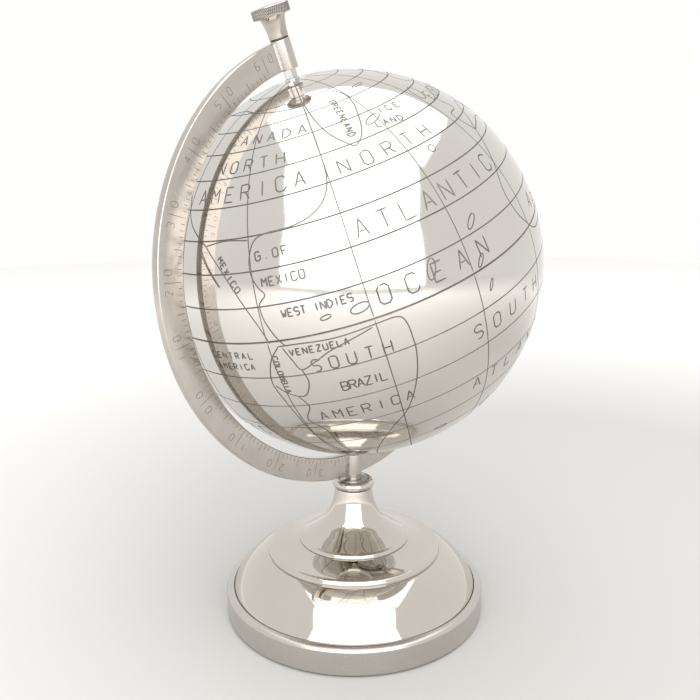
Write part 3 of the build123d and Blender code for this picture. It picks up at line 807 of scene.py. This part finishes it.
# ---------------------------------------------------------------- the base
def base_band():
    """Lowest ring: satin side, round shoulder and bright inner lip."""
    radius, bottom, top = reach("base_band")
    shoulder, drop, foot, ledge = 4.2 * MM, 2.3 * MM, 1.0 * MM, 3.4 * MM
    lip = radius - shoulder
    edge = top - 2.0 * MM
    inside, seat_radius, seat = radius - 4.5 * MM, radius - 3.0 * MM, bottom + 2.7 * MM
    outside = [
        (seat_radius, bottom), *arc((radius - foot, bottom + foot), foot, -90, 0, 6),
        *[(radius, bottom + foot + (top - drop - bottom - foot) * step / 6) for step in range(1, 6)],
        *[(lip + x * shoulder, top - drop + y * drop) for x, y in arc((0, 0), 1.0, 0, 84, 16)],
        (lip + 0.1 * MM, top - 0.12 * MM),
    ]
    groove = [(lip, top - 0.35 * MM), (lip, edge), (lip - ledge, edge)]
    back = [(lip - ledge, edge - 1.8 * MM), (inside, edge - 5.2 * MM), (inside, seat),
            (seat_radius, seat)]
    dark = [len(outside), len(outside) + 1]
    piece = lathe("base_band_ring", outside + groove + back, ["band", "groove"], 256, dark, sharp=30)
    finish_piece(piece, "stand", "base_metal", "base_band")


def bulged(low, high, bulge, steps):
    """Points of a shallow arc between two points of an outline, without the first."""
    run = (high[0] - low[0], high[1] - low[1])
    length = math.hypot(*run)
    out = (run[1] / length, -run[0] / length)
    radius = (length ** 2 / 4 + bulge ** 2) / (2 * bulge)
    points = []
    for step in range(1, steps + 1):
        share = step / steps
        along = (share - 0.5) * length
        rise = math.sqrt(radius ** 2 - along ** 2) - (radius - bulge)
        points.append((low[0] + run[0] * share + out[0] * rise, low[1] + run[1] * share + out[1] * rise))
    return points


def base_dome():
    """Domed shell between the groove and the middle tier."""
    radius, bottom, top = reach("base_dome")
    band_top = reach("base_band")[2]
    top_radius, wall = 50.2 * MM, 1.8 * MM
    outer = bulged((radius, band_top), (top_radius, top), DOME_BULGE, 28)
    inner = bulged((radius - wall, band_top), (top_radius - wall, top - wall), 1.4 * MM, 14)
    outline = [
        (radius - wall, bottom), (radius, bottom), (radius, band_top - 0.3 * MM),
        (radius - 0.08 * MM, band_top), *outer, (TIE_HOLE, top), (TIE_HOLE, top - wall),
        *reversed(inner), (radius - wall, band_top),
    ]
    piece = lathe("base_dome_shell", outline, ["base", "groove"], 256, [1], sharp=30)
    finish_piece(piece, "stand", "base_metal", "base_dome")


def middle_tier():
    """Stepped shell with a rounded bright rim and a faintly dished top."""
    radius, bottom, top = reach("middle_tier")
    rim, round_radius, wall = 3.4 * MM, 2.6 * MM, 1.8 * MM
    flange = reach("neck")[0]
    rim_top = bottom + rim
    start = (radius - round_radius, rim_top)
    dish = []
    for step in range(1, 17):
        share = step / 16
        dish.append((start[0] + (flange - start[0]) * share,
                     rim_top + (top - rim_top) * (0.35 * share + 0.65 * share ** 2)))
    outline = [
        (radius - wall, bottom), (radius - 0.15 * MM, bottom), (radius, bottom + 0.15 * MM),
        *arc((radius - round_radius, rim_top - round_radius), round_radius, 0, 90, 14), *dish,
        (TIE_HOLE, top), (TIE_HOLE, top - wall), (flange, top - wall), (radius - wall, rim_top - wall),
    ]
    piece = lathe("middle_tier_shell", outline, ["base", "groove"], 256, [0, 1], sharp=30)
    finish_piece(piece, "stand", "base_metal", "middle_tier")


def neck():
    """Flared neck with its thin bright flange."""
    radius, bottom, top = reach("neck")
    rim, round_radius, neck_radius = 2.4 * MM, 2.0 * MM, 10.5 * MM
    rim_top = bottom + rim
    edge = radius - round_radius
    span, rise = edge - neck_radius, top - rim_top
    shape = [(edge, rim_top)]
    for out, up in ((0.608, 0.181), (0.291, 0.375), (0.085, 0.677), (0.0, 1.0)):
        shape.append((neck_radius + out * span, rim_top + up * rise))
    outline = [
        (20 * MM, bottom), (radius - 0.15 * MM, bottom), (radius, bottom + 0.15 * MM),
        *arc((edge, rim_top - round_radius), round_radius, 0, 90, 12), *smooth_curve(shape, 14)[1:],
        (TIE_HOLE, top), (TIE_HOLE, bottom + 20 * MM),
    ]
    piece = lathe("neck_flare", outline, ["base", "groove"], 256, [0, 1], sharp=30)
    finish_piece(piece, "stand", "base_metal", "neck")


def collar_and_seat():
    """Beaded ring and the stepped seat inside it."""
    edge = 0.3 * MM
    radius, bottom, top = reach("collar_ring")
    bead = (top - bottom) / 2
    bore = 8.8 * MM
    outline = [(bore, bottom), *arc((radius - bead, bottom + bead), bead, -90, 90, 24),
               *arc((bore + edge, top - edge), edge, 90, 180, 4)]
    piece = lathe("collar_bead", outline, ["base"], 160, sharp=30)
    finish_piece(piece, "stand", "base_metal", "collar_ring")
    radius, bottom, top = reach("seat_spacer")
    step, step_radius = 0.9 * MM, 3.9 * MM
    outline = [(TIE_HOLE, bottom), (radius, bottom),
               *arc((radius - edge, top - step - edge), edge, 0, 90, 4),
               (step_radius, top - step), (step_radius, top), (TIE_HOLE, top)]
    piece = lathe("seat_step", outline, ["band"], 96, sharp=30)
    finish_piece(piece, "stand", "base_metal", "seat_spacer")


def felt():
    """Felt disc with a soft, slightly fuzzy edge."""
    radius, bottom, top = reach("felt_pad")
    soft = 0.7 * MM
    outline = [
        (0, bottom), *[(radius * share, bottom) for share in (0.25, 0.5, 0.75, 0.9)],
        *arc((radius - soft, bottom + soft), soft, -90, 0, 6),
        (radius, top - 0.2 * MM), (radius - 0.2 * MM, top), (radius * 0.5, top), (0, top),
    ]

    def fuzzy(point):
        lift = 0.06 * MM * (1 + noise.noise(point * 900))
        if point.z < bottom + 1e-6:
            return Vector((point.x, point.y, bottom + lift))
        out = math.hypot(point.x, point.y)
        if out > radius - soft:
            return Vector((point.x * (1 - lift / out), point.y * (1 - lift / out), point.z))
        return point

    piece = lathe("felt_disc", outline, ["felt"], 256, shape=fuzzy)
    finish_piece(piece, "stand", "felt", "felt_pad")


# ---------------------------------------------------------------- CAD nodes that stay
KEPT_NODES = {
    "bottom_plate": "plate", "base_weight": "iron", "tie_rod": "zinc", "tie_washer": "zinc",
    "tie_nut": "zinc", "axle_rod": "zinc", "north_lock_nut": "nut", "south_lock_nut": "nut",
    "seam_sleeve": "inner", "north_bush": "nut", "south_bush": "nut", "north_bush_nut": "brass",
    # The thumb washer's dark colour is painted shadow in the gap under the nut.
    "south_bush_nut": "brass", "thumb_washer": "washer",
}


def paint_kept_nodes():
    """Gives the CAD nodes that stay visible their detailed materials."""
    for node, material in KEPT_NODES.items():
        for slot in frame["nodes"][node].material_slots:
            slot.material = MATERIALS[material]


# ---------------------------------------------------------------- studio
def floor_plane(size, material):
    """Square floor under the object."""
    half = size / 2
    mesh = bpy.data.meshes.new("floor")
    corners = [(-half, -half, 0), (half, -half, 0), (half, half, 0), (-half, half, 0)]
    mesh.from_pydata(corners, [], [(0, 1, 2, 3)])
    mesh.materials.append(material)
    plane = bpy.data.objects.new("floor", mesh)
    bpy.context.collection.objects.link(plane)


def soft_light(name, location, target, size, power):
    """Rectangular light, turned from its place towards a target."""
    data = bpy.data.lights.new(name, "AREA")
    data.shape = "RECTANGLE"
    data.size, data.size_y = size
    data.energy = power
    light = bpy.data.objects.new(name, data)
    light.location = location
    light.rotation_euler = (Vector(target) - Vector(location)).to_track_quat("-Z", "Y").to_euler()
    bpy.context.collection.objects.link(light)


# Where the camera stands, which way it looks, its up and its focal length in mm.
VIEW_FROM = Vector((-0.2730, -0.2711, 0.2238))
VIEW_ALONG = Vector((0.6942, 0.6945, -0.1891)).normalized()
VIEW_UP = Vector((0.1386, 0.1288, 0.9819))
VIEW_LENS = 36.49


def studio():
    """Pale floor with painted shade round the stand, soft lights, an even bright room, and the camera.
    """
    floor, shader, tree = new_material("floor_with_painted_shade", (0.93, 0.93, 0.93), 0.0, 0.7)
    place = tree.nodes.new("ShaderNodeTexCoord")
    away = tree.nodes.new("ShaderNodeVectorMath")
    away.operation = "DISTANCE"
    away.inputs[1].default_value = (0.2, 0.0, 0.0)
    link(tree, place.outputs["Object"], away.inputs[0])
    floor_shade_colour = ramp(tree, away.outputs["Value"], (0.50, 0.49, 0.475), (0.93, 0.925, 0.915), 0.25, 1.3)
    link(tree, floor_shade_colour, shader.inputs["Base Color"])       # painted shade: greyer near the stand, paler further off
    floor_plane(6.0, floor)

    world = bpy.data.worlds.new("white_tent")
    bpy.context.scene.world = world
    world.use_nodes = True
    background = world.node_tree.nodes["Background"]
    background.inputs["Color"].default_value = (1.0, 0.995, 0.985, 1)
    background.inputs["Strength"].default_value = 1.0

    soft_light("front_panel", (-0.82, -0.82, 0.50), (0, 0, 0.50), (1.86, 0.90), 9.5)
    soft_light("slanted_panel", (-0.622, -0.622, 1.315), (-0.106, -0.106, 0.755), (1.86, 0.92), 9.6)
    soft_light("overhead_panel", (0.163, 0.049, 1.68), (0.173, 0.059, 0), (1.9, 1.5), 11.7)
    bpy.context.scene.view_settings.view_transform = "Standard"

    camera = bpy.data.cameras.new("camera")
    camera.lens = VIEW_LENS
    camera.sensor_width = 36.0
    camera.clip_start, camera.clip_end = 0.01, 50
    holder = bpy.data.objects.new("camera", camera)
    right = VIEW_ALONG.cross(VIEW_UP).normalized()
    up = right.cross(VIEW_ALONG)
    turn = Matrix((right, up, -VIEW_ALONG)).transposed().to_4x4()
    holder.matrix_world = Matrix.Translation(VIEW_FROM) @ turn
    bpy.context.collection.objects.link(holder)
    bpy.context.scene.camera = holder


# ---------------------------------------------------------------- build
studio()
globe_shell("north_bowl", 1, NORTH_LINES)
globe_shell("south_bowl", -1, SOUTH_LINES)
engrave_globe()
arm()
thumb_nut()
base_band()
base_dome()
middle_tier()
neck()
collar_and_seat()
felt()
paint_kept_nodes()
